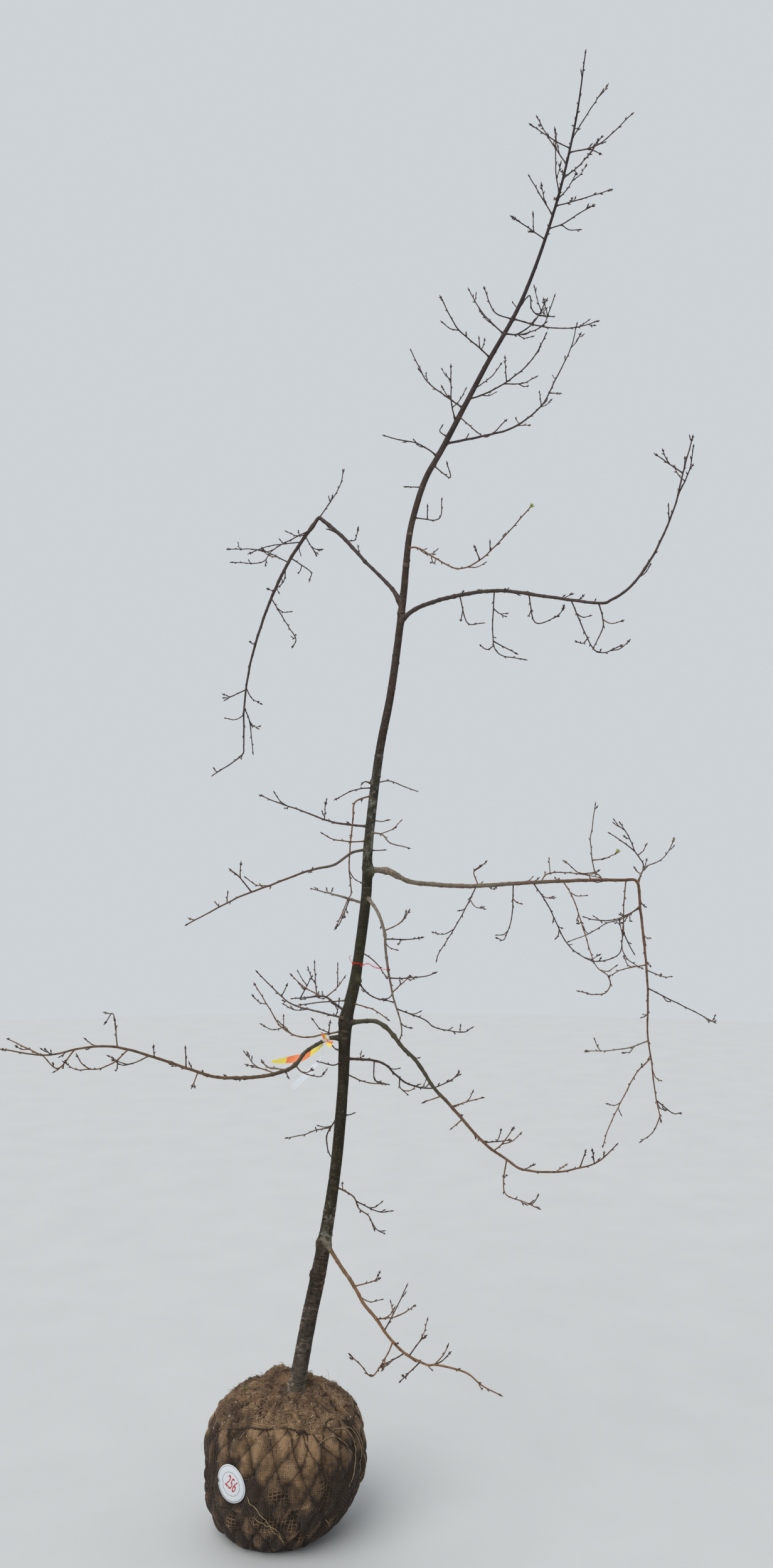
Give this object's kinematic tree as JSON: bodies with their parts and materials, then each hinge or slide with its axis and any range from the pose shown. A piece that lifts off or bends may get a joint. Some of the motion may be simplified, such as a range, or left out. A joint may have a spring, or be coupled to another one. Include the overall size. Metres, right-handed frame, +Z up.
{
  "type": "sapling with root ball",
  "caption": "Bare young deciduous tree with a leaning, tapering trunk and sparse drooping boughs, standing free on its burlap-wrapped root ball.",
  "frame": {"origin": "centre of the root ball's flat underside", "axes": "+Z up, +X to the side the trunk leans towards, -Y to the viewer of the front"},
  "size_m": [2.2306, 1.2189, 5.1053],
  "materials": {
    "bark": "rough",
    "bough_bark": "rough",
    "twigs": "rough",
    "root_ball": "rough"
  },
  "bodies": {
    "root": {"root_ball": "root_ball", "trunk": "bark", "arch_bough": "bough_bark", "arch_twigs": "twigs", "arch_tip_twigs": "twigs", "rising_bough": "bough_bark", "apex_twigs": "twigs", "pendant_twigs": "twigs", "pendant_tail": "twigs", "rail_bough": "bough_bark", "rail_twigs": "twigs", "drop_twigs": "twigs", "drop_tail": "twigs", "upper_right_bough": "bough_bark", "upper_right_twigs": "twigs", "left_sloping_bough": "bough_bark", "left_sloping_twigs": "twigs", "drooping_bough": "bough_bark", "drooping_twigs": "twigs", "sinking_bough": "bough_bark", "sinking_twigs": "twigs", "sinking_tip_twigs": "twigs", "long_left_bough": "bough_bark", "long_left_twigs": "twigs", "long_left_tip_twigs": "twigs", "lowest_bough": "bough_bark", "lowest_twigs": "twigs", "top_twigs_1": "twigs", "top_twigs_2": "twigs", "top_twigs_3": "twigs", "top_twigs_4": "twigs", "top_twigs_5": "twigs", "top_twigs_6": "twigs", "top_twigs_7": "twigs", "top_twigs_8": "twigs", "top_twigs_9": "twigs", "top_twigs_10": "twigs", "top_twigs_11": "twigs", "upper_twigs_1": "twigs", "upper_twigs_2": "twigs", "upper_twigs_3": "twigs", "upper_twigs_4": "twigs", "upper_twigs_5": "twigs", "upper_twigs_6": "twigs", "upper_twigs_7": "twigs", "upper_twigs_8": "twigs", "upper_twigs_9": "twigs", "middle_twigs_1": "twigs", "middle_twigs_2": "twigs", "middle_twigs_3": "twigs", "middle_twigs_4": "twigs", "middle_twigs_5": "twigs", "lower_twigs_1": "twigs", "lower_twigs_2": "twigs", "lower_twigs_3": "twigs", "lower_twigs_4": "twigs", "lower_twigs_5": "twigs", "lower_twigs_6": "twigs", "lower_twigs_7": "twigs"}
  },
  "joints": []
}
